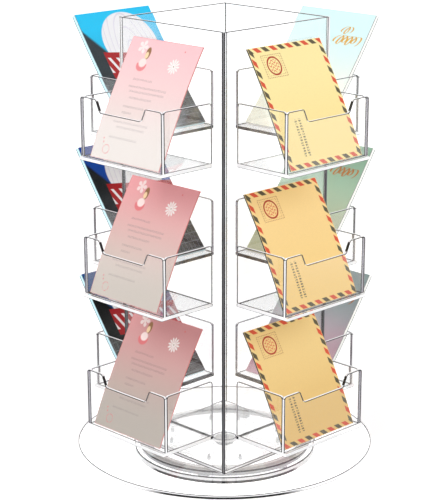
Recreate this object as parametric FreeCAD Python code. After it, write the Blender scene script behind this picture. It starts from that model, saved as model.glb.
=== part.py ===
"""Rotating countertop rack for greeting cards.

A square column of clear sheet stands on a round disc.  Each of its four sides carries three
open-topped pockets.  The disc turns on a ring of balls that runs on a smaller round plate,
and a bolt through the middle of that plate keeps the two together.

Units are millimetres.  Z is the axis of rotation, z = 0 is the counter under the feet, and the
column's sides face -Y (front), +X (right), +Y (back) and -X (left).
"""
import FreeCAD, Part
import math
import os

# ---- driving dimensions --------------------------------------------------------------------
sheet = 4.0             # clear sheet of the column and the pockets
edge_ease = 0.7         # small chamfer on every edge of the sheet
cement_film = 0.05      # film of cement between bonded plates

disc_radius = 190.5     # a 15 inch disc
disc_thickness = 5.0

column_side = 181.5     # outside width of the square column
column_height = 547.0

pocket_width = 142.0    # takes a 5 x 7 inch card upright
pocket_depth = 81.5     # column face to the pocket's outer face
pocket_height = 76.5
tier_pitch = 172.0      # pocket to pocket, up the column
first_tier_gap = 42.5   # disc to the underside of the lowest pocket
floor_lip = 3.0         # floor showing beyond the pocket's outer face

turntable_radius = 117.0
turntable_thickness = 8.8
turntable_bevel = 1.2   # on the rims of the turntable plate and the hub
turntable_gap = 6.4     # turntable plate to the underside of the disc
feet_thickness = 1.3

ball_radius = 2.0
ball_count = 36
race_pitch_radius = 104.7
running_clearance = 0.05

hub_radius = 14.5
pivot_radius = 4.0      # shank of the centre bolt

# ---- heights up the stack -------------------------------------------------------------------
turntable_bottom = feet_thickness
turntable_top = turntable_bottom + turntable_thickness
disc_bottom = turntable_top + turntable_gap
disc_top = disc_bottom + disc_thickness
column_half = column_side / 2

# ---- ball race ------------------------------------------------------------------------------
race_gap = 1.4                                  # open height between the two races
upper_race_width = 14.5
upper_race_thickness = 2.5
upper_race_bottom = disc_bottom - upper_race_thickness
lower_race_top = upper_race_bottom - race_gap
lower_race_width = 10.5
lower_race_seat = 2.0                           # depth let into the turntable plate
ball_height = (upper_race_bottom + lower_race_top) / 2
cage_width = 8.0
cage_thickness = 0.8

# ---- centre pivot ---------------------------------------------------------------------------
head_radius = 7.0
head_height = 2.4
washer_radius = 9.5
washer_thickness = 0.8
counterbore_radius = 10.0
counterbore_depth = 4.2
bush_radius = 7.0
bush_flange_radius = 11.0
bush_flange = 0.8
seat_gap = 0.02                                 # a pressed or screwed part in its hole
thrust_gap = 0.1
hub_bottom = turntable_top + bush_flange + thrust_gap
thread_depth = 3.4
bore_end_gap = 0.3

# ---- screws through the disc into the column floor -------------------------------------------
screw_circle_radius = 71.0
screw_pair_angle = 15.0                         # each side of every corner of the column
screw_radius = 1.5
screw_head_radius = 2.3                         # slim cap heads, under the disc
screw_head_height = 4.2
screw_bite = 3.2                                # length in the column floor

sides = {"front": 0, "right": 90, "back": 180, "left": 270}
tiers = ("lower", "middle", "upper")

UP = FreeCAD.Vector(0, 0, 1)
ORIGIN = FreeCAD.Vector(0, 0, 0)


def save(name, shape):
    shape.exportStep(os.path.join("parts", name + ".step"))


def cylinder(radius, bottom, top, x=0.0, y=0.0):
    return Part.makeCylinder(radius, top - bottom, FreeCAD.Vector(x, y, bottom), UP)


def ring(outer, inner, bottom, top):
    return cylinder(outer, bottom, top).cut(cylinder(inner, bottom - 1, top + 1))


def ball_groove():
    """The round track that the balls run in."""
    radius = ball_radius + running_clearance
    return Part.makeTorus(race_pitch_radius, radius, FreeCAD.Vector(0, 0, ball_height), UP)


def circle_points(radius, angles):
    """Points on a circle about the axis, at angles counted in degrees from +X."""
    return [(radius * math.cos(math.radians(a)), radius * math.sin(math.radians(a))) for a in angles]


def turned(shape, angle):
    """A copy of a shape drawn for the front side, turned round the axis to another side."""
    copy = shape.copy()
    copy.rotate(ORIGIN, UP, angle)
    return copy


def eased_box(low, high):
    """A rectangular plate between two corners, with eased edges."""
    size = [b - a for a, b in zip(low, high)]
    box = Part.makeBox(*size, FreeCAD.Vector(*low))
    return box.makeChamfer(edge_ease, box.Edges)


def eased_outline(points, radii, direction):
    """A plate cut to a flat outline, with rounded corners and eased edges.

    points are the outline's corners in order, radii the rounding of each corner (0 for a square
    one), and direction the vector through the sheet's thickness.
    """
    corners = [FreeCAD.Vector(*p) for p in points]
    plate = Part.Face(Part.makePolygon(corners + corners[:1])).extrude(direction)
    for corner, radius in zip(corners, radii):
        if radius:
            middle = corner + direction * 0.5
            edge = min(plate.Edges, key=lambda e: e.CenterOfMass.distanceToPoint(middle))
            plate = plate.makeFillet(radius, [edge])
    return plate.makeChamfer(edge_ease, plate.Edges)


# ---- turntable: the part that stands still ---------------------------------------------------
def base_feet():
    """Thin self-adhesive rubber pads under the turntable plate."""
    pad_radius = 8.0
    pad_circle = turntable_radius - 2 * pad_radius
    points = circle_points(pad_circle, range(0, 360, 60))
    pads = [cylinder(pad_radius, 0, feet_thickness - seat_gap, x, y) for x, y in points]
    return Part.makeCompound(pads)


def turntable_plate():
    plate = cylinder(turntable_radius, turntable_bottom, turntable_top)
    plate = plate.makeChamfer(turntable_bevel, plate.Edges)
    race_outer = race_pitch_radius + lower_race_width / 2 + seat_gap
    race_inner = race_pitch_radius - lower_race_width / 2 - seat_gap
    plate = plate.cut(ring(race_outer, race_inner, turntable_top - lower_race_seat, turntable_top + 1))
    counterbore_top = turntable_bottom + counterbore_depth
    plate = plate.cut(cylinder(counterbore_radius, turntable_bottom - 1, counterbore_top))
    return plate.cut(cylinder(bush_radius + seat_gap, counterbore_top - 1, turntable_top + 1))


def lower_race():
    bottom = turntable_top - lower_race_seat + seat_gap
    half_width = lower_race_width / 2
    track = ring(race_pitch_radius + half_width, race_pitch_radius - half_width, bottom, lower_race_top)
    return track.cut(ball_groove())


def pivot_bush():
    """Flanged bush in the turntable plate; its flange carries the hub."""
    bottom = turntable_bottom + counterbore_depth
    sleeve = cylinder(bush_radius, bottom, turntable_top + bush_flange)
    flange = cylinder(bush_flange_radius, turntable_top + seat_gap, turntable_top + bush_flange)
    bore = cylinder(pivot_radius + running_clearance, bottom - 1, turntable_top + 2)
    return sleeve.fuse(flange).cut(bore).removeSplitter()


# ---- ball cage -------------------------------------------------------------------------------
def ball_centres():
    return circle_points(race_pitch_radius, [i * 360 / ball_count for i in range(ball_count)])


def ball_cage():
    bottom = ball_height - cage_thickness / 2
    top = ball_height + cage_thickness / 2
    cage = ring(race_pitch_radius + cage_width / 2, race_pitch_radius - cage_width / 2, bottom, top)
    hole_radius = ball_radius + running_clearance
    holes = [cylinder(hole_radius, bottom - 1, top + 1, x, y) for x, y in ball_centres()]
    return cage.cut(Part.makeCompound(holes))


def bearing_balls():
    balls = [Part.makeSphere(ball_radius, FreeCAD.Vector(x, y, ball_height)) for x, y in ball_centres()]
    return Part.makeCompound(balls)


# ---- the turning base ------------------------------------------------------------------------
def screw_points():
    """A pair of screws near each corner of the column."""
    corners = range(45, 360, 90)
    angles = [corner + side * screw_pair_angle for corner in corners for side in (-1, 1)]
    return circle_points(screw_circle_radius, angles)


def screw_shape(x, y):
    """A cap-head screw put in from below, its head against the underside of the disc."""
    head_top = disc_bottom - seat_gap
    shank = cylinder(screw_radius, head_top, disc_top + screw_bite, x, y)
    head = cylinder(screw_head_radius, head_top - screw_head_height, head_top, x, y)
    return shank.fuse(head).removeSplitter()


def screw_holes():
    """What is bored out of the disc and the column floor for the screws' shanks."""
    radius = screw_radius + seat_gap
    top = disc_top + screw_bite + bore_end_gap
    return Part.makeCompound([cylinder(radius, disc_bottom - 1, top, x, y) for x, y in screw_points()])


def base_disc():
    disc = cylinder(disc_radius, disc_bottom, disc_top)
    disc = disc.makeChamfer(edge_ease, disc.Edges)
    return disc.cut(screw_holes())


def upper_race():
    half_width = upper_race_width / 2
    top = disc_bottom - cement_film
    track = ring(race_pitch_radius + half_width, race_pitch_radius - half_width, upper_race_bottom, top)
    return track.cut(ball_groove())


def hub_puck():
    """Round spacer bonded under the disc, tapped for the centre bolt."""
    puck = cylinder(hub_radius, hub_bottom, disc_bottom - cement_film)
    puck = puck.makeChamfer(turntable_bevel, puck.Edges)
    bore_top = hub_bottom + thread_depth + bore_end_gap
    return puck.cut(cylinder(pivot_radius + seat_gap, hub_bottom - 1, bore_top))


def washer_top():
    return turntable_bottom + counterbore_depth - thrust_gap


def pivot_washer():
    top = washer_top()
    return ring(washer_radius, pivot_radius + seat_gap, top - washer_thickness, top)


def pivot_bolt():
    """Centre bolt with a cross-slotted pan head, put in from below."""
    head_top = washer_top() - washer_thickness - seat_gap
    head = cylinder(head_radius, head_top - head_height, head_top)
    head = head.makeFillet(0.6, [head.Edges[2]])
    shank = cylinder(pivot_radius, head_top, hub_bottom + thread_depth)
    bolt = head.fuse(shank).removeSplitter()
    slot_width, slot_length, slot_depth = 1.2, 7.5, 1.4
    for length_x, length_y in ((slot_length, slot_width), (slot_width, slot_length)):
        corner = FreeCAD.Vector(-length_x / 2, -length_y / 2, head_top - head_height)
        bolt = bolt.cut(Part.makeBox(length_x, length_y, slot_depth, corner))
    return bolt


# ---- column ----------------------------------------------------------------------------------
def column_floor():
    half = column_half - sheet - cement_film
    bottom = disc_top + cement_film
    floor = eased_box((-half, -half, bottom), (half, half, bottom + sheet))
    return floor.cut(screw_holes())


def floor_screws():
    return Part.makeCompound([screw_shape(x, y) for x, y in screw_points()])


def column_panel():
    """The front panel.  Each panel covers the end of the next one, round the square."""
    right_edge = column_half - sheet - cement_film
    low = (-column_half, -column_half, disc_top + cement_film)
    high = (right_edge, -column_half + sheet, disc_top + column_height)
    return eased_box(low, high)


# ---- pockets, drawn on the front side --------------------------------------------------------
pocket_half = pocket_width / 2
pocket_back = -column_half - cement_film            # y of the column face that they are bonded to
pocket_face = -column_half - pocket_depth           # y of the pocket's outer face
face_inside = pocket_face + sheet


def pocket_floor(bottom):
    low = (-pocket_half, pocket_face - floor_lip, bottom)
    return eased_box(low, (pocket_half, pocket_back, bottom + sheet))


def pocket_cheeks(bottom):
    """The two side plates, rounded at the top."""
    column_corner_radius = 5.0
    outer_corner_radius = 4.0
    low = bottom + sheet + cement_film
    top = bottom + pocket_height
    front = face_inside + cement_film
    cheeks = []
    for x in (-pocket_half, pocket_half - sheet):
        points = [(x, pocket_back, low), (x, front, low), (x, front, top), (x, pocket_back, top)]
        radii = [0, 0, outer_corner_radius, column_corner_radius]
        cheeks.append(eased_outline(points, radii, FreeCAD.Vector(sheet, 0, 0)))
    return Part.makeCompound(cheeks)


def pocket_front(bottom):
    """The outer plate, with a wide shallow dip in its top edge to show and pick the card."""
    dip_depth = 0.2 * pocket_height
    dip_top_half = 0.30 * pocket_width
    dip_floor_half = 0.25 * pocket_width
    corner_radius = 4.0
    dip_radius = 4.5
    low = bottom + sheet + cement_film
    top = bottom + pocket_height
    right_side = [
        (pocket_half, low, 0),
        (pocket_half, top, corner_radius),
        (dip_top_half, top, dip_radius),
        (dip_floor_half, top - dip_depth, dip_radius),
    ]
    left_side = [(-x, z, radius) for x, z, radius in reversed(right_side)]
    outline = right_side + left_side
    points = [(x, pocket_face, z) for x, z, radius in outline]
    return eased_outline(points, [radius for x, z, radius in outline], FreeCAD.Vector(0, sheet, 0))


def main():
    os.makedirs("parts", exist_ok=True)

    save("base_feet", base_feet())
    save("turntable_plate", turntable_plate())
    save("lower_race", lower_race())
    save("pivot_bush", pivot_bush())

    save("ball_cage", ball_cage())
    save("bearing_balls", bearing_balls())

    save("upper_race", upper_race())
    save("base_disc", base_disc())
    save("hub_puck", hub_puck())
    save("pivot_bolt", pivot_bolt())
    save("pivot_washer", pivot_washer())
    save("floor_screws", floor_screws())
    save("column_floor", column_floor())

    panel = column_panel()
    for side, angle in sides.items():
        save("panel_" + side, turned(panel, angle))

    for level, tier in enumerate(tiers):
        bottom = disc_top + first_tier_gap + level * tier_pitch
        plates = {
            "floor": pocket_floor(bottom),
            "cheeks": pocket_cheeks(bottom),
            "face": pocket_front(bottom),
        }
        for side, angle in sides.items():
            for piece, shape in plates.items():
                save("pocket_{}_{}_{}".format(side, tier, piece), turned(shape, angle))


main()
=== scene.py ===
"""Looks of the rotating card rack.

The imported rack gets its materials, and each pocket gets a sample card of generic design, so that
the rack is shown the way it is used.  Lengths are metres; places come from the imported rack.
"""
import math

import bmesh
import bpy
from mathutils import Matrix, Vector


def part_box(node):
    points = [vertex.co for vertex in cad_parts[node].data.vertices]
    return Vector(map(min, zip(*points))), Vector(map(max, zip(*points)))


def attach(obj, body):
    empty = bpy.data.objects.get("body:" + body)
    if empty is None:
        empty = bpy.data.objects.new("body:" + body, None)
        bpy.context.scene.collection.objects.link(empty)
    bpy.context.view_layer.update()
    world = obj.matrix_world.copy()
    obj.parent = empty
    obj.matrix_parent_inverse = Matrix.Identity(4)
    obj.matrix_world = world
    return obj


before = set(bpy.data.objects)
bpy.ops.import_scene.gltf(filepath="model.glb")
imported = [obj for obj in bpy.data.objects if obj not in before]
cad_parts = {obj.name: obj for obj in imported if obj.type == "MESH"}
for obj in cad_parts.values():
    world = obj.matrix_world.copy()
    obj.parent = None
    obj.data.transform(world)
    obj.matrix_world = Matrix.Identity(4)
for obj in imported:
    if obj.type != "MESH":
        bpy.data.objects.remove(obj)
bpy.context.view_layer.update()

MM = 0.001
UP = (0, 0, 1)
SHOW_SAMPLE_CARDS = True    # False leaves the rack empty

SIDES = {"front": 0, "right": 90, "back": 180, "left": 270}     # turn about Z from the front side
TIERS = ("lower", "middle", "upper")

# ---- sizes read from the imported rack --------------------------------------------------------
DISC_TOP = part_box("base_disc")[1].z
COLUMN_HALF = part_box("panel_right")[1].x
UPPER_POCKET_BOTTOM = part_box("pocket_front_upper_floor")[0].z


# ---- building node trees --------------------------------------------------------------------
class Nodes:
    """A node tree, built socket by socket.  Any value may be a number or a socket."""

    def __init__(self, tree):
        self.tree = tree
        self.tree.nodes.clear()

    def add(self, kind, settings=None, **inputs):
        """A node of the given kind, with its inputs by name, _ standing for a space."""
        node = self.tree.nodes.new("ShaderNode" + kind)
        for key, value in (settings or {}).items():
            setattr(node, key, value)
        for key, value in inputs.items():
            self.feed(node.inputs[key.replace("_", " ")], value)
        return node

    def feed(self, socket, value):
        if isinstance(value, bpy.types.NodeSocket):
            self.tree.links.new(value, socket)
        else:
            socket.default_value = value

    def add_in_order(self, kind, settings, indexed_values):
        """A node whose inputs are given by their index, for kinds that repeat input names."""
        node = self.add(kind, settings)
        for index, value in indexed_values:
            self.feed(node.inputs[index], value)
        return node

    def maths(self, operation, *values):
        return self.add_in_order("Math", {"operation": operation}, enumerate(values)).outputs[0]

    def times(self, first, second):
        return self.maths("MULTIPLY", first, second)

    def minus(self, first, second):
        return self.maths("SUBTRACT", first, second)

    def absolute(self, value):
        return self.maths("ABSOLUTE", value)

    def smaller(self, first, second):
        return self.maths("MINIMUM", first, second)

    def larger(self, first, second):
        return self.maths("MAXIMUM", first, second)

    def scaled(self, value, factor, offset):
        return self.maths("MULTIPLY_ADD", value, factor, offset)

    def sine(self, value, factor):
        return self.maths("SINE", self.times(value, factor))

    def opposite(self, mask):
        return self.minus(1.0, mask)

    def along(self, vector, direction):
        """How far a vector reaches along a direction."""
        values = enumerate((vector, direction))
        return self.add_in_order("VectorMath", {"operation": "DOT_PRODUCT"}, values).outputs["Value"]

    def mix(self, factor, first, second):
        """A colour between two others."""
        values = ((0, factor), (6, first), (7, second))
        return self.add_in_order("Mix", {"data_type": "RGBA"}, values).outputs[2]

    def mix_numbers(self, factor, first, second):
        values = ((0, factor), (2, first), (3, second))
        return self.add_in_order("Mix", {"data_type": "FLOAT"}, values).outputs[0]

    def mix_shaders(self, factor, first, second):
        return self.add_in_order("MixShader", {}, enumerate((factor, first, second))).outputs[0]

    def smooth_step(self, value, low, high, low_result=0.0, high_result=1.0):
        settings = {"interpolation_type": "SMOOTHSTEP"}
        node = self.add("MapRange", settings, Value=value, From_Min=low, From_Max=high,
                        To_Min=low_result, To_Max=high_result)
        return node.outputs["Result"]

    def noise(self, vector, scale, detail=3.0):
        return self.add("TexNoise", Vector=vector, Scale=scale, Detail=detail).outputs["Fac"]

    def bump(self, height, distance, strength=1.0):
        return self.add("Bump", Height=height, Distance=distance, Strength=strength).outputs["Normal"]


class Shader(Nodes):
    """A material's node tree.  position is the place on the surface, in the rack's frame."""

    def __init__(self, name):
        self.material = bpy.data.materials.new(name)
        self.material.use_nodes = True
        super().__init__(self.material.node_tree)
        coordinates = self.add("TexCoord").outputs
        self.position, self.normal = coordinates["Object"], coordinates["Normal"]

    def finish(self, surface):
        output = self.add("OutputMaterial", Surface=surface)
        output.target = "ALL"
        return self.material


def colour(red, green, blue):
    return (red, green, blue, 1.0)


def paint(red, green, blue):
    """A paint-chart colour, each channel 0 to 255, as the linear values that shaders take."""
    return colour(*[(channel / 255) ** 2.2 for channel in (red, green, blue)])


WHITE, BLACK = colour(1, 1, 1), colour(0, 0, 0)

# ---- clear sheet ----------------------------------------------------------------------------
ACRYLIC_IOR = 1.49
CLEAR = colour(0.997, 0.998, 0.999)
CLEAR_SHADE = colour(0.995, 0.995, 0.996)   # light that has fallen through a sheet
PALE_EDGE = colour(0.93, 0.93, 0.945)       # a frosted cut edge seen from outside; also a painted highlight on edges and corners
CORNER_LINE = colour(0.02, 0.02, 0.023)     # painted shade: the thin dark lines on the eased corners
# painted shade: black for the dark bands, lines and dip ends painted on the sheet
DARK = colour(0.012, 0.012, 0.014)
EDGE_GLOW = 0.22            # painted glow: the cut edges give out light, standing in for light the sheet gathers there
DIP_END_RISE = 0.42         # how far up the slanted ends of a pocket's dip face
SAW_MARK_DEPTH = 0.02 * MM
GRAIN_DEPTH = 0.02 * MM     # of plated steel, foil and the edges of cards

# how squarely a surface faces through the sheet: not at all on a cut edge, fully on a face, and
# in between on an eased corner
EDGE_UP_TO = (0.40, 0.55)
FACE_FROM = (0.86, 0.95)


class Sheet(Shader):
    """Clear cast sheet, told apart into faces, cut edges and the eased corners between them.

    thin_axis is the direction through the sheet.
    """

    def __init__(self, name, thin_axis):
        super().__init__(name)
        self.thin_axis = thin_axis
        self.place = self.add("SeparateXYZ", Vector=self.position).outputs
        self.geometry = self.add("NewGeometry").outputs
        across = self.absolute(self.along(self.normal, thin_axis))
        self.is_edge = self.smooth_step(across, *EDGE_UP_TO, 1.0, 0.0)
        self.is_face = self.smooth_step(across, *FACE_FROM)
        self.saw_marks = self.noise(self.position, 1400.0, 2.0)

    def pale_aloft(self, edge_tint, low, high):
        """Edge tint that turns pale between two heights, at two opposite corners of the column: a painted
        highlight.
        """
        aloft = self.smooth_step(self.place["Z"], low, high)
        corner = self.times(self.place["X"], self.place["Y"])
        return self.mix(self.times(aloft, self.maths("GREATER_THAN", corner, 0.0)), edge_tint, PALE_EDGE)

    def upright_tints(self, edge_tint):
        """Edge and corner tints of a plate that stands on edge: painted highlight and painted shade."""
        rise = self.along(self.normal, UP)
        upward = self.absolute(rise)
        # level edges are painted pale, a painted highlight, and the slanted ends of a pocket's dip are
        # painted dark from outside, painted shade
        edge_tint = self.mix(self.smooth_step(upward, 0.6, 0.8), edge_tint, PALE_EDGE)
        slanted = self.maths("LESS_THAN", self.absolute(self.minus(upward, DIP_END_RISE)), 0.10)
        outside = self.opposite(self.geometry["Backfacing"])
        edge_tint = self.mix(self.times(slanted, outside), edge_tint, DARK)
        # along the bottom, the corner on the pocket's outside is lost in the cemented joint: no painted dark
        # line there, painted pale instead
        side = self.times(self.along(self.position, self.thin_axis), self.along(self.normal, self.thin_axis))
        joined = self.times(self.maths("LESS_THAN", rise, -0.5), self.maths("GREATER_THAN", side, 0.0))
        return edge_tint, self.mix(joined, CORNER_LINE, PALE_EDGE)

    def banded_rim(self, edge_tint, bottom, band, square_on):
        """Edge tint of a round plate, painted dark near its bottom where it squarely faces the eye: painted
        shade of the gap below it.
        """
        facing = self.absolute(self.along(self.geometry["Incoming"], self.normal))
        shaded = self.smooth_step(facing, square_on - 0.10, square_on)
        low = self.smooth_step(self.place["Z"], bottom + band, bottom + band + 0.4 * MM, 1.0, 0.0)
        return self.mix(self.times(shaded, low), edge_tint, DARK)

    def cemented(self, tint, clear, bead):
        """A shelf's tint and clearness, with a painted highlight on its top corner and a dark bead at the
        column, the cement joint darkened with painted shade.
        """
        top_corner = self.maths("GREATER_THAN", self.along(self.normal, UP), 0.5)
        tint = self.mix(self.times(top_corner, self.opposite(self.is_face)), tint, PALE_EDGE)
        far = self.larger(self.absolute(self.place["X"]), self.absolute(self.place["Y"]))
        joint = self.smooth_step(far, COLUMN_HALF + bead, COLUMN_HALF + bead + 0.3 * MM, 1.0, 0.0)
        return self.mix(joint, tint, DARK), self.times(clear, self.opposite(joint))

    def roughness(self, milky):
        """Hairline wiping marks and smudges on the faces, fine saw marks on the edges."""
        hairlines = None
        # long thin noise in two directions, only its crests kept
        for turn, stretch in ((0.5, (0.04, 1.0, 0.04)), (-0.9, (0.05, 0.05, 1.0))):
            stretched = self.add("Mapping", Vector=self.position, Rotation=(turn, turn, 0.3), Scale=stretch)
            crest = self.smooth_step(self.noise(stretched.outputs[0], 2600.0, 1.0), 0.70, 0.74)
            hairlines = crest if hairlines is None else self.larger(hairlines, crest)
        smudges = self.smooth_step(self.noise(self.position, 22.0), 0.50, 0.80)
        of_face = self.scaled(hairlines, 0.05, self.scaled(smudges, 0.004, 0.2 * milky))
        of_edge = self.scaled(self.saw_marks, 0.10, 0.12)
        return self.mix_numbers(self.is_edge, of_face, of_edge)

    def sheet(self, tint, clear, milky):
        """The finished material.  Light that falls through it goes straight on, with no shadow."""
        relief = self.times(self.saw_marks, self.is_edge)
        sheen = self.times(self.larger(self.is_face, self.times(self.is_edge, 0.5)), 0.5)
        # the cut edges glow in their own tint, painted light
        glass = self.add("BsdfPrincipled", Roughness=self.roughness(milky), IOR=ACRYLIC_IOR,
                         Transmission_Weight=clear, Normal=self.bump(relief, SAW_MARK_DEPTH, 0.3),
                         Base_Color=tint, Specular_IOR_Level=sheen, Emission_Color=tint,
                         Emission_Strength=self.times(self.is_edge, EDGE_GLOW))
        path = self.add("LightPath").outputs
        passes = self.larger(path["Is Shadow Ray"], path["Is Diffuse Ray"])
        through = self.add("BsdfTransparent", Color=CLEAR_SHADE)
        return self.finish(self.mix_shaders(passes, glass.outputs[0], through.outputs[0]))


def acrylic(name, thin_axis, inner_edge, outer_edge=PALE_EDGE, clarity=0.3, bead=0.0, rim=None,
            fade=None, milky=0.0):
    """Material of one kind of clear plate.  Its eased corners show as thin dark lines.

    An edge is outer_edge in colour from outside, and inner_edge when it is seen through the sheet:
    both are painted tints, the dark ones painted shade, the pale ones a frosted edge with painted
    light, and the dark corner lines are painted shade too.  clarity is how far the edges are
    see-through.  bead, for a shelf, is the width of the dark line where it meets the column: the
    cement joint, darkened with painted shade.  rim, for a round plate, is its bottom, how high up
    its rim the gap below it shows as a painted dark band of shade, and how squarely the rim must
    face the eye for that.  fade, for a panel, is the pair of heights between which the edges at two
    opposite corners of the column turn pale, a painted highlight.  milky is the share of white in
    a track's plastic.
    """
    s = Sheet(name, thin_axis)
    edge_tint = s.mix(s.geometry["Backfacing"], outer_edge, inner_edge)
    corner_tint = CORNER_LINE
    if fade:
        edge_tint = s.pale_aloft(edge_tint, *fade)
    if thin_axis != UP:
        edge_tint, corner_tint = s.upright_tints(edge_tint)
    if rim:
        edge_tint = s.banded_rim(edge_tint, *rim)
    tint = s.mix(s.is_face, s.mix(s.is_edge, corner_tint, edge_tint), CLEAR)
    clear = s.larger(s.times(s.is_face, 1.0 - milky), s.times(s.is_edge, clarity))
    if bead:
        tint, clear = s.cemented(tint, clear, bead)
    return s.sheet(tint, clear, milky)


# ---- other rack materials -------------------------------------------------------------------
def plated_steel():
    s = Shader("plated_steel")
    grain = s.noise(s.position, 900.0, 2.0)
    wear = s.noise(s.position, 160.0)
    tone = s.mix(wear, colour(0.42, 0.43, 0.45), colour(0.66, 0.67, 0.69))
    shader = s.add("BsdfPrincipled", Base_Color=tone, Metallic=1.0, Roughness=s.scaled(wear, 0.25, 0.14),
                   Normal=s.bump(grain, GRAIN_DEPTH, 0.5))
    return s.finish(shader.outputs[0])


def moulded(name, base, dark, roughness, translucency=0.0):
    """Plain moulded or turned plastic and rubber, with a fine grain."""
    s = Shader(name)
    grain = s.noise(s.position, 1200.0, 3.0)
    cloud = s.noise(s.position, 90.0)
    shader = s.add("BsdfPrincipled", Base_Color=s.mix(cloud, base, dark),
                   Roughness=s.scaled(grain, 0.15, roughness), Transmission_Weight=translucency,
                   Normal=s.bump(grain, 0.04 * MM, 0.6))
    return s.finish(shader.outputs[0])


# ---- dressing the rack ----------------------------------------------------------------------
def dress(node, material):
    """Gives a node of the rack its material."""
    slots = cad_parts[node].data.materials
    slots.clear()
    slots.append(material)


def dress_round_plate(node, band, square_on):
    """Clear sheet for a round plate, its edges tinted grey as painted shade; see acrylic for the painted dark
    band on its rim.
    """
    inner_edge = colour(0.30, 0.30, 0.32)
    rim = (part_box(node)[0].z, band, square_on)
    dress(node, acrylic("acrylic_" + node, UP, inner_edge, clarity=0.1, rim=rim))


def dress_column_and_pockets():
    # painted shade: the dark and grey edge tints of panels, faces and cheeks
    panel_inner, panel_outer = colour(0.08, 0.08, 0.09), colour(0.11, 0.11, 0.12)
    face_inner = colour(0.22, 0.215, 0.24)
    cheek_edge = colour(0.42, 0.41, 0.45)
    # heights where two corners of the panels get a painted highlight on their edges
    fade = (UPPER_POCKET_BOTTOM - 20 * MM, UPPER_POCKET_BOTTOM + 40 * MM)
    # dark line at each shelf's joint with the column: the cement joint, darkened with painted shade that
    # grows towards the lower tiers
    bead_width = {"upper": 0.5 * MM, "middle": 1.6 * MM, "lower": 4.2 * MM}

    panel, face, cheek, shelf = {}, {}, {}, {}
    for key, axis in (("x", (1, 0, 0)), ("y", (0, 1, 0))):
        panel[key] = acrylic("acrylic_panel_" + key, axis, panel_inner, panel_outer, fade=fade)
        face[key] = acrylic("acrylic_face_" + key, axis, face_inner)
        cheek[key] = acrylic("acrylic_cheek_" + key, axis, cheek_edge, cheek_edge)
    for tier in TIERS:
        shelf[tier] = acrylic("acrylic_shelf_" + tier, UP, PALE_EDGE, bead=bead_width[tier])

    for side in SIDES:
        outward, sideways = ("y", "x") if side in ("front", "back") else ("x", "y")
        dress("panel_" + side, panel[outward])
        for tier in TIERS:
            pocket = "pocket_{}_{}_".format(side, tier)
            dress(pocket + "face", face[outward])
            dress(pocket + "cheeks", cheek[sideways])
            dress(pocket + "floor", shelf[tier])


def dress_base():
    dress_round_plate("base_disc", 2.9 * MM, 0.84)
    dress_round_plate("turntable_plate", 3.8 * MM, 0.60)
    dress_round_plate("hub_puck", 0.5 * MM, 0.80)

    # painted shade: grey and dark edge tints of the column floor and the races
    mid_grey, track_grey = colour(0.5, 0.5, 0.52), colour(0.4, 0.4, 0.42)
    dress("column_floor", acrylic("acrylic_column_floor", UP, mid_grey))
    dress("upper_race", acrylic("acrylic_upper_race", UP, track_grey, DARK, milky=0.4))
    dress("lower_race", acrylic("acrylic_lower_race", UP, track_grey, mid_grey, milky=0.4))
    steel = plated_steel()
    for node in ("bearing_balls", "floor_screws", "pivot_bolt", "pivot_washer"):
        dress(node, steel)
    dress("ball_cage", moulded("cage_acetal", paint(205, 207, 210), paint(180, 182, 186), 0.35))
    dress("pivot_bush", moulded("white_nylon", paint(238, 238, 234), paint(226, 226, 220), 0.40))
    dress("base_feet", moulded("feet_rubber", paint(250, 250, 252), paint(240, 240, 244), 0.2, 0.95))


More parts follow.
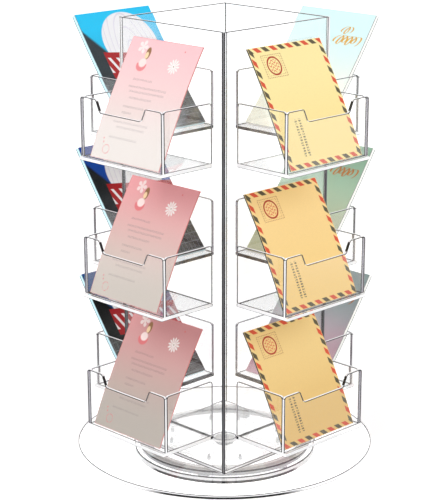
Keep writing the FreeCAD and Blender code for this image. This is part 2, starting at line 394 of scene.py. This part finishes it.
# ---- printed card ---------------------------------------------------------------------------
class Print(Shader):
    """A printed sheet.  across and up are distances from its lower left corner.

    Places on the sheet are given as shares of its width and length, and sizes in millimetres.
    """

    def __init__(self, name, width, length):
        super().__init__(name)
        self.width, self.length = width / MM, length / MM
        split = self.add("SeparateXYZ", Vector=self.add("UVMap").outputs[0])
        self.across = self.maths("DIVIDE", split.outputs["X"], MM)
        self.up = self.maths("DIVIDE", split.outputs["Y"], MM)
        self.fibres = self.noise(self.position, 700.0, 4.0)

    def offsets(self, at_across, at_up):
        """Distances from a place along both directions."""
        return self.minus(self.across, at_across * self.width), self.minus(self.up, at_up * self.length)

    def distance(self, at_across, at_up, squeeze=1.0):
        """Distance from a place.  squeeze over 1 makes its circles taller than wide."""
        x, y = self.offsets(at_across, at_up)
        x = self.times(x, squeeze)
        return self.maths("SQRT", self.maths("ADD", self.times(x, x), self.times(y, y)))

    def from_rim(self):
        """Distance from the nearest edge of the sheet."""
        side = self.smaller(self.across, self.minus(self.width, self.across))
        end = self.smaller(self.up, self.minus(self.length, self.up))
        return self.smaller(side, end)

    def within(self, value, limit, soft=0.3):
        """1 where value is under the limit, 0 past it."""
        return self.smooth_step(value, limit - soft, limit + soft, 1.0, 0.0)

    def line(self, value, at, half_width):
        """1 on a thin band about value = at."""
        return self.within(self.absolute(self.minus(value, at)), half_width, 0.2)

    def both(self, *masks):
        result = masks[0]
        for mask in masks[1:]:
            result = self.times(result, mask)
        return result

    def either(self, *masks):
        result = masks[0]
        for mask in masks[1:]:
            result = self.larger(result, mask)
        return result

    def ink(self, surface, mask, tone, strength=None):
        """The surface with a tone printed where the mask is 1, thinly if it has a strength."""
        return self.mix(mask if strength is None else self.times(mask, strength), surface, tone)

    def gradient(self, foot, head, start=0.0, end=1.0):
        """From one colour at the foot of the sheet to another at its head."""
        share = self.smooth_step(self.up, start * self.length, end * self.length)
        return self.mix(share, foot, head)

    def written_rows(self, rows, half_height):
        """Rows of unreadable strokes, each by its middle across, its height up and half its width."""
        strokes = self.add("CombineXYZ", X=self.times(self.across, 1.1), Y=self.up)
        texture = self.smooth_step(self.noise(strokes.outputs[0], 1.0, 2.0), 0.44, 0.56)
        masks = []
        for at_across, at_up, half_width in rows:
            x, y = self.offsets(at_across, at_up)
            inside = self.within(self.absolute(x), half_width * self.width)
            masks.append(self.both(inside, self.within(self.absolute(y), half_height, 0.4)))
        return self.both(texture, self.either(*masks))

    def blossom(self, at_across, at_up, radius, petals):
        """A flower: round-ended petals with gaps between them, about a solid middle."""
        x, y = self.offsets(at_across, at_up)
        angle = self.maths("ARCTAN2", y, x)
        swing = self.maths("COSINE", self.times(angle, float(petals)))
        outline = self.scaled(swing, 0.16 * radius, 0.84 * radius)
        reach = self.distance(at_across, at_up)
        petal = self.either(self.smooth_step(swing, -0.9, -0.5), self.within(reach, 0.30 * radius))
        return self.both(petal, self.within(self.minus(reach, outline), 0.0, 0.6))

    def sheet(self, surface, roughness=0.5, coat=0.0):
        """The finished material: the print on slightly fibrous stock."""
        fibre_tone = colour(0.25, 0.22, 0.2)
        shaded = self.mix(self.smooth_step(self.fibres, 0.3, 0.8, 0.0, 0.06), surface, fibre_tone)
        shader = self.add("BsdfPrincipled", Base_Color=shaded, Coat_Weight=coat, Specular_IOR_Level=0.25,
                          Roughness=self.scaled(self.fibres, 0.15, roughness),
                          Normal=self.bump(self.fibres, 0.03 * MM, 0.4))
        return self.finish(shader.outputs[0])


def invitation(name, width, length, foot, head):
    """Pink invitation: a potted posy and a daisy over rows of small writing."""
    p = Print(name, width, length)
    coral, white, brown = paint(226, 104, 110), paint(248, 246, 242), paint(150, 110, 74)
    surface = p.gradient(foot, head, 0.1, 1.1)
    writing = p.written_rows([
        (0.36, 0.67, 0.14),
        (0.47, 0.61, 0.27), (0.48, 0.572, 0.25), (0.42, 0.52, 0.16), (0.37, 0.445, 0.15), (0.30, 0.395, 0.07),
        (0.42, 0.318, 0.25), (0.44, 0.277, 0.20), (0.38, 0.19, 0.20),
    ], 1.3)
    surface = p.ink(surface, writing, paint(128, 108, 112), 0.42)
    # petals, then the eye of the daisy
    surface = p.ink(surface, p.blossom(0.71, 0.815, 9.5, 12), white, 0.8)
    surface = p.ink(surface, p.within(p.distance(0.71, 0.815), 0.8), brown)
    # the posy: a white bloom behind, a brown bud with a pale heart, a coral pot with a pale rim
    surface = p.ink(surface, p.blossom(0.20, 0.93, 8.5, 5), white, 0.6)
    surface = p.ink(surface, p.within(p.distance(0.30, 0.885, 1.9), 7.5, 1.0), brown)
    surface = p.ink(surface, p.within(p.distance(0.29, 0.868, 1.5), 4.2, 0.8), paint(246, 214, 170))
    pot = p.both(p.within(p.distance(0.265, 0.785, 0.9), 7.5, 0.8), p.within(p.up, 0.80 * p.length, 0.8))
    surface = p.ink(surface, pot, coral, 0.75)
    surface = p.ink(surface, p.within(p.distance(0.27, 0.805, 0.9), 5.4, 1.0), paint(250, 226, 222))
    # specks, a rough ring at the foot, and a line all round
    specks = [p.within(p.distance(x, y), 1.1, 0.5) for x, y in ((0.79, 0.94), (0.12, 0.17), (0.13, 0.14))]
    surface = p.ink(surface, p.either(*specks), coral, 0.7)
    doodle = p.both(p.line(p.distance(0.19, 0.085), 5.5, 0.6), p.smooth_step(p.fibres, 0.42, 0.52))
    surface = p.ink(surface, doodle, coral, 0.7)
    surface = p.ink(surface, p.within(p.from_rim(), 0.6), coral, 0.5)
    return p.sheet(surface)


def airmail(name, width, length, foot, head):
    """Kraft envelope with a striped border, a round postmark and a dotted address block."""
    p = Print(name, width, length)
    red, olive = paint(222, 88, 62), paint(98, 90, 70)
    surface = p.gradient(foot, head, 0.1, 0.9)

    nearest = p.from_rim()
    border = p.both(p.within(nearest, 6.3), p.smooth_step(nearest, 0.3, 0.7))
    stripe_pair = 27.0
    slanted = p.maths("ADD", p.across, p.times(p.up, 1.05))
    phase = p.maths("FRACT", p.maths("DIVIDE", slanted, stripe_pair))
    for at, tone in ((0.25, red), (0.75, olive)):
        stripe = p.within(p.absolute(p.minus(phase, at)), 0.15, 0.012)
        surface = p.ink(surface, p.both(border, stripe), tone)

    # postmark: a perforated square frame, a ring and wavy lines inside it
    middle = (0.26, 0.838)
    x, y = p.offsets(*middle)
    reach = p.larger(p.absolute(x), p.times(p.absolute(y), 1.22))
    frames = p.either(p.line(reach, 16.5, 0.6), p.line(reach, 13.6, 0.35))
    dots = p.smooth_step(p.sine(p.maths("ADD", x, y), 2.2), -0.5, 0.2)
    surface = p.ink(surface, p.both(frames, dots), paint(170, 100, 70), 0.8)
    mark = p.distance(*middle)
    wave = p.scaled(p.sine(x, 0.8), 1.8, y)
    crests = p.smooth_step(p.sine(wave, 1.5), 0.35, 0.6)
    surface = p.ink(surface, p.both(crests, p.within(mark, 8.3)), red, 0.85)
    surface = p.ink(surface, p.line(mark, 10.6, 1.0), paint(180, 58, 40))

    # address block: two columns of small blots
    x, y = p.offsets(0.28, 0.245)
    aside = p.absolute(x)
    columns = p.both(p.within(aside, 5.2, 0.2), p.smooth_step(aside, 1.2, 1.5), p.within(p.absolute(y), 23.0))
    letters = p.smooth_step(p.sine(p.up, 1.9), -0.35, -0.05)
    cells = p.add("CombineXYZ", X=p.across, Y=p.up)
    blots = p.smooth_step(p.noise(cells.outputs[0], 0.55, 1.0), 0.42, 0.46)
    surface = p.ink(surface, p.both(columns, letters, blots), paint(66, 56, 46), 0.9)
    return p.sheet(surface, roughness=0.6)


def balloon_card(name, width, length, foot, head):
    """Boxed card: a pale balloon in a blue sky over a dark tiled roof, with a red sash."""
    p = Print(name, width, length)
    surface = p.gradient(p.mix(0.75, foot, head), head, 0.55, 0.9)
    gable = p.scaled(p.across, -1.3, 0.86 * p.length)
    roof_line = p.larger(gable, 0.43 * p.length)
    roof = p.within(p.minus(p.up, roof_line), 0.0, 4.0)
    tile = p.larger(p.sine(p.across, 0.9), p.sine(p.up, 0.55))
    tiles = p.both(p.smooth_step(tile, 0.90, 0.99), p.within(p.up, 0.40 * p.length, 8.0))
    surface = p.ink(surface, roof, p.ink(foot, tiles, paint(190, 205, 215), 0.22))
    # balloon with faint lilac seams
    seams = p.smooth_step(p.sine(p.distance(0.56, 0.60, 2.6), 0.32), 0.8, 1.0, 0.0, 0.35)
    skin = p.mix(seams, paint(247, 247, 252), paint(196, 186, 220))
    surface = p.ink(surface, p.within(p.distance(0.56, 0.72), 45.0, 0.8), skin)
    # sash with slanted white bars
    x, y = p.offsets(0.62, 0.52)
    lifted = p.scaled(x, 0.12, y)
    sash = p.both(p.within(p.absolute(x), 60.0), p.within(p.absolute(lifted), 19.0))
    surface = p.ink(surface, sash, paint(170, 20, 30))
    bars = p.maths("FRACT", p.maths("DIVIDE", p.scaled(lifted, 0.45, x), 13.0))
    inner = p.both(sash, p.within(p.absolute(lifted), 11.0))
    surface = p.ink(surface, p.both(inner, p.within(bars, 0.36, 0.04)), paint(244, 240, 244))
    return p.sheet(surface, roughness=0.25, coat=0.3)


def wash_card(name, width, length, foot, head):
    """Boxed card with a soft two-colour wash."""
    p = Print(name, width, length)
    clouds = p.noise(p.position, 14.0, 2.0)
    share = p.maths("ADD", p.maths("DIVIDE", p.up, p.length), p.scaled(clouds, 0.5, -0.25))
    surface = p.mix(p.smooth_step(share, 0.1, 0.9), foot, head)
    return p.sheet(surface, roughness=0.3, coat=0.2)


class Stock(Shader):
    """Foil or the edge of a card, with a little grain."""

    def __init__(self, name):
        super().__init__(name)
        self.grain = self.noise(self.position, 900.0, 2.0)

    def stock(self, tint, roughness):
        """The finished material."""
        shader = self.add("BsdfPrincipled", Base_Color=tint, Roughness=roughness,
                          Normal=self.bump(self.grain, GRAIN_DEPTH, 0.5))
        return self.finish(shader.outputs[0])


def boxed_edge(name, pale, dark, thickness):
    """The side of a boxed card: pale, with a dark fold near each face."""
    s = Stock(name)
    split = s.add("SeparateXYZ", Vector=s.add("UVMap").outputs[0])
    share = s.maths("DIVIDE", split.outputs["X"], thickness)
    fold = s.smooth_step(s.absolute(s.minus(share, 0.5)), 0.30, 0.38)
    return s.stock(s.mix(fold, pale, s.mix(s.times(s.grain, 0.3), dark, pale)), 0.4)


def plain_stock(name, tone, roughness=0.5):
    """Stock of one tone, a little darker along its grain."""
    s = Stock(name)
    tint = s.mix(s.smooth_step(s.grain, 0.3, 0.8, 0.0, 0.25), tone, colour(0.2, 0.2, 0.2))
    return s.stock(tint, roughness)


# ---- sample cards ---------------------------------------------------------------------------
class CardPose:
    """Where a card stands in its pocket, on the front side.

    foot_out and head_out are distances of its ends from the column, rise the height of its head
    over the pocket's floor, and bow how far its middle swells outward.
    """

    def __init__(self, width, foot_out, head_out, rise, bow, thickness):
        self.width = width
        self.foot_out, self.head_out = foot_out, head_out
        self.rise, self.bow, self.thickness = rise, bow, thickness
        self.length = math.hypot(head_out - foot_out, rise)

    def point(self, across, share, lift):
        """A point by its place across, its share of the way up, and its height off the sheet."""
        out = self.foot_out + (self.head_out - self.foot_out) * share + self.bow * 4 * share * (1 - share)
        slope = (self.head_out - self.foot_out + self.bow * 4 * (1 - 2 * share)) / self.rise
        outward = Vector((0, -1, -slope)).normalized()
        return Vector((across, -(COLUMN_HALF + out), self.rise * share)) + outward * lift

    def foot_drop(self):
        """How far the foot's lower edge hangs under the middle of the foot."""
        return -min(self.point(0, 0, lift).z for lift in (-self.thickness / 2, self.thickness / 2))


INVITATION_POSE = CardPose(120 * MM, 74 * MM, 3.0 * MM, 135.5 * MM, 3.5 * MM, 1.2 * MM)
ENVELOPE_POSE = CardPose(125 * MM, 73 * MM, 3.5 * MM, 133 * MM, 3.5 * MM, 1.8 * MM)
BOXED_POSE = CardPose(127 * MM, 12 * MM, 117.5 * MM, 140 * MM, 3 * MM, 6 * MM)
CARD_ROWS = 12
FLOOR_PLAY = 0.5 * MM       # keeps the foot clear of the pocket's floor
FOIL_LIFT = 0.12 * MM       # of foil off the face it is pressed on
FOIL_STEPS = 26             # steps to each loop of a flourish

# nobody puts cards in exactly straight: how far each is slid along its pocket
SLID = {
    "front": {"middle": -6.5 * MM, "lower": -4 * MM},
    "right": {"upper": 4 * MM},
    "back": {"upper": -3.3 * MM, "middle": -3.3 * MM, "lower": -3.3 * MM},
}


def set_in_pocket(shape, mesh, side, tier, pose):
    """Fills the mesh with a shape drawn on the front side, from z = 0, and sets it in its pocket."""
    shape.to_mesh(mesh)
    shape.free()
    piece = bpy.data.objects.new(mesh.name, mesh)
    bpy.context.scene.collection.objects.link(piece)
    floor_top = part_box("pocket_{}_{}_floor".format(side, tier))[1].z
    turn = Matrix.Rotation(math.radians(SIDES[side]), 4, "Z")
    piece.matrix_world = turn @ Matrix.Translation((0, 0, floor_top + pose.foot_drop() + FLOOR_PLAY))
    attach(piece, "rack")


def card(side, tier, pose, print_material, edge_material):
    """One bowed sheet with both faces printed."""
    mesh = bpy.data.meshes.new("sample_card_{}_{}".format(side, tier))
    mesh.materials.append(print_material)
    mesh.materials.append(edge_material)
    shape = bmesh.new()
    uv = shape.loops.layers.uv.new("print")
    slid = SLID.get(side, {}).get(tier, 0.0)
    ends = (-pose.width / 2 + slid, pose.width / 2 + slid)

    def rows_of_corners(lift):
        return [[shape.verts.new(pose.point(across, row / CARD_ROWS, lift)) for across in ends]
                for row in range(CARD_ROWS + 1)]

    def quad(corners, material, marks):
        face = shape.faces.new(corners)
        face.material_index = material
        for loop, mark in zip(face.loops, marks):
            loop[uv].uv = mark

    outer, inner = rows_of_corners(pose.thickness / 2), rows_of_corners(-pose.thickness / 2)
    side_marks = ((0, 0), (0, 0), (pose.thickness, 0), (pose.thickness, 0))     # how far through the card
    for row in range(CARD_ROWS):
        low, high = [pose.length * step / CARD_ROWS for step in (row, row + 1)]
        seen_outside = ((0, low), (pose.width, low), (pose.width, high), (0, high))
        quad((outer[row][0], outer[row][1], outer[row + 1][1], outer[row + 1][0]), 0, seen_outside)
        # on the inner face the print starts from the other side, so that it reads the right way round
        seen_inside = ((pose.width, low), (pose.width, high), (0, high), (0, low))
        quad((inner[row][0], inner[row + 1][0], inner[row + 1][1], inner[row][1]), 0, seen_inside)
        quad((outer[row][0], outer[row + 1][0], inner[row + 1][0], inner[row][0]), 1, side_marks)
        quad((outer[row + 1][1], outer[row][1], inner[row][1], inner[row + 1][1]), 1, side_marks)
    quad((outer[0][1], outer[0][0], inner[0][0], inner[0][1]), 1, side_marks)
    quad((outer[-1][0], outer[-1][1], inner[-1][1], inner[-1][0]), 1, side_marks)
    set_in_pocket(shape, mesh, side, tier, pose)


def foil_flourish(tier, row, material, face, loops, at_across, at_up, size):
    """A looping pen stroke in foil on a card at the back, on its outer face (1) or inner face (-1)."""
    pose = BOXED_POSE
    mesh = bpy.data.meshes.new("sample_card_back_{}_foil_{}".format(tier, row))
    mesh.materials.append(material)
    shape = bmesh.new()
    steps = FOIL_STEPS * loops
    lift = face * (pose.thickness / 2 + FOIL_LIFT)
    stroke = []
    for step in range(steps + 1):
        turn = 2 * math.pi * loops * step / steps
        # a curve that a point on a rolling wheel draws, leaning like handwriting
        above = -size * math.cos(turn) * (1.0 - 0.25 * math.cos(turn * 0.5))
        rolled = 0.62 * (turn / math.pi - loops) - 0.75 * math.sin(turn)
        across = at_across * pose.width + size * rolled + 0.5 * above
        up = at_up * pose.length + above
        half_width = size * (0.10 + 0.14 * abs(math.sin(turn + 0.6)))   # thick on its downstrokes
        stroke.append([shape.verts.new(pose.point((across + nudge) * face, up / pose.length, lift))
                       for nudge in (-half_width, half_width)])
    for (left, right), (next_left, next_right) in zip(stroke, stroke[1:]):
        shape.faces.new((left, right, next_right, next_left))
    set_in_pocket(shape, mesh, "back", tier, pose)


def sample_cards():
    """One card to a pocket.  Each tier's tones are a little darker than the one above it, painted shade."""
    # tones at the foot and at the head of each card, painted darker on each lower tier as shade
    invitations = {
        "upper": (paint(229, 220, 214), paint(250, 194, 199)),
        "middle": (paint(204, 194, 184), paint(233, 156, 160)),
        "lower": (paint(183, 173, 163), paint(215, 147, 149)),
    }
    envelopes = {
        "upper": (paint(254, 228, 154), paint(255, 236, 168)),
        "middle": (paint(250, 212, 138), paint(252, 217, 150)),
        "lower": (paint(234, 194, 122), paint(246, 214, 146)),
    }
    skies = {
        "upper": (paint(40, 52, 58), paint(12, 202, 255)),
        "middle": (paint(28, 33, 38), paint(6, 76, 178)),
        "lower": (paint(10, 15, 18), paint(26, 90, 160)),
    }
    washes = {
        "upper": (paint(253, 255, 238), paint(220, 252, 253)),
        "middle": (paint(184, 190, 158), paint(166, 204, 180)),
        "lower": (paint(198, 156, 176), paint(160, 180, 186)),
    }
    # foil tones too are painted darker on the lower tiers, painted shade
    gold = {"upper": paint(232, 178, 70), "middle": paint(206, 132, 66), "lower": paint(196, 122, 70)}

    coral_edge = plain_stock("edge_coral", paint(206, 120, 118))
    kraft_edge = plain_stock("edge_dark_kraft", paint(34, 26, 22))
    sky_edge = boxed_edge("edge_sky", paint(200, 238, 248), paint(30, 44, 56), BOXED_POSE.thickness)
    wash_edge = boxed_edge("edge_wash", paint(250, 250, 246), paint(60, 72, 70), BOXED_POSE.thickness)
    for side, design, pose, tones, edge in (
        ("front", invitation, INVITATION_POSE, invitations, coral_edge),
        ("right", airmail, ENVELOPE_POSE, envelopes, kraft_edge),
        ("left", balloon_card, BOXED_POSE, skies, sky_edge),
        ("back", wash_card, BOXED_POSE, washes, wash_edge),
    ):
        for tier in TIERS:
            foot, head = tones[tier]
            material = design("print_{}_{}".format(side, tier), pose.width, pose.length, foot, head)
            card(side, tier, pose, material, edge)
    for tier in TIERS:
        foil = plain_stock("foil_gold_" + tier, gold[tier], 0.35)
        for face in (1, -1):
            foil_flourish(tier, "top", foil, face, 2, 0.25, 0.85, 5 * MM)
            foil_flourish(tier, "low", foil, face, 5, 0.30, 0.77, 6 * MM)


# ---- studio ---------------------------------------------------------------------------------
def studio_floor():
    """A white table that fades into a lit sweep."""
    mesh = bpy.data.meshes.new("studio_floor")
    shape = bmesh.new()
    bmesh.ops.create_circle(shape, cap_ends=True, segments=96, radius=14.0)
    shape.to_mesh(mesh)
    shape.free()
    floor = bpy.data.objects.new("studio_floor", mesh)
    bpy.context.scene.collection.objects.link(floor)
    floor.location.z = -0.2 * MM

    s = Shader("studio_floor")
    path = s.add("LightPath").outputs
    reach = s.add_in_order("VectorMath", {"operation": "LENGTH"}, [(0, s.position)]).outputs["Value"]
    # past the rack it is dimmed once clear sheet has mirrored it, as by a polariser
    mirrored = s.smaller(path["Glossy Depth"], 1.0)
    past_rack = s.smooth_step(reach, 0.26, 0.32, 0.0, 0.6)
    far_away = s.smooth_step(reach, 0.9, 1.25, 1.0, 0.3)
    kept = s.opposite(s.times(mirrored, s.times(past_rack, far_away)))
    # under the turntable, where many plates cover it, it glows a little more: painted light
    sweep = s.smooth_step(reach, 0.5, 3.0, 0.30, 0.55)
    under = s.smooth_step(reach, 0.11, 0.30, 0.85, 0.12)
    glow = s.scaled(path["Is Transmission Ray"], under, sweep)
    white = s.mix(s.noise(s.position, 60.0), colour(0.93, 0.93, 0.93), colour(0.95, 0.95, 0.95))
    table = s.add("BsdfPrincipled", Base_Color=s.mix(kept, BLACK, white), Roughness=0.6,
                  Specular_IOR_Level=0.2, Emission_Color=WHITE, Emission_Strength=s.times(glow, kept))
    mesh.materials.append(s.finish(table.outputs[0]))


def light_tent():
    """White all round, with upright dark gaps near the horizon that draw the edges of clear sheet."""
    world = bpy.data.worlds.new("studio")
    bpy.context.scene.world = world
    world.use_nodes = True
    s = Nodes(world.node_tree)
    path = s.add("LightPath").outputs
    direction = s.add("SeparateXYZ", Vector=s.add("TexCoord").outputs["Generated"]).outputs
    azimuth = s.maths("ARCTAN2", direction["Y"], direction["X"])
    upright = s.maths("LESS_THAN", s.maths("COSINE", s.times(azimuth, 8.0)), -0.55)
    gap = s.times(upright, s.maths("LESS_THAN", direction["Z"], 0.22))
    # seen straight through clear sheet it is plain white; mirrored in one it is dimmer and has its gaps
    mirrored = s.smaller(path["Glossy Depth"], 1.0)
    straight = s.times(path["Is Transmission Ray"], s.opposite(mirrored))
    level = s.opposite(s.times(gap, s.scaled(straight, -0.96, 0.96)))
    tent = s.add("Background", Color=level, Strength=s.scaled(straight, 0.32, 0.68))
    backdrop = s.add("Background", Color=WHITE)
    surface = s.mix_shaders(path["Is Camera Ray"], tent.outputs[0], backdrop.outputs[0])
    s.add("OutputWorld", Surface=surface)


def soft_lamps():
    for name, place, power in (("key", (-1.2, -2.2, 2.6), 41.0), ("fill", (2.4, 0.8, 2.4), 24.0)):
        lamp = bpy.data.lights.new(name, "AREA")
        lamp.size = 1.6
        lamp.energy = power
        holder = bpy.data.objects.new(name, lamp)
        bpy.context.scene.collection.objects.link(holder)
        holder.location = place
        aim = Vector((0, 0, 0.25)) - Vector(place)
        holder.rotation_euler = aim.to_track_quat("-Z", "Y").to_euler()


def camera():
    """Looks at a corner of the column from above its top, from about two metres."""
    distance = 2.053
    height = DISC_TOP + 0.8386
    pitch = math.radians(17.619)
    azimuth = math.radians(45)
    data = bpy.data.cameras.new("view")
    data.sensor_fit = "VERTICAL"
    data.sensor_height = 36.0
    data.lens = 121.54
    data.shift_x = -0.0052
    data.shift_y = 0.10
    data.clip_end = 60.0
    holder = bpy.data.objects.new("view", data)
    bpy.context.scene.collection.objects.link(holder)
    holder.location = (distance * math.sin(azimuth), -distance * math.cos(azimuth), height)
    holder.rotation_euler = (math.pi / 2 - pitch, 0, azimuth)
    bpy.context.scene.camera = holder


def light_paths():
    """Enough bounces for light that is mirrored many times inside the edges of the sheet."""
    scene = bpy.context.scene
    scene.view_settings.view_transform = "Standard"
    scene.cycles.max_bounces = 28
    scene.cycles.transmission_bounces = 28
    scene.cycles.transparent_max_bounces = 32
    scene.cycles.glossy_bounces = 28
    scene.cycles.caustics_refractive = False
    scene.cycles.caustics_reflective = False


dress_column_and_pockets()
dress_base()
if SHOW_SAMPLE_CARDS:
    sample_cards()
studio_floor()
light_tent()
soft_lamps()
camera()
light_paths()
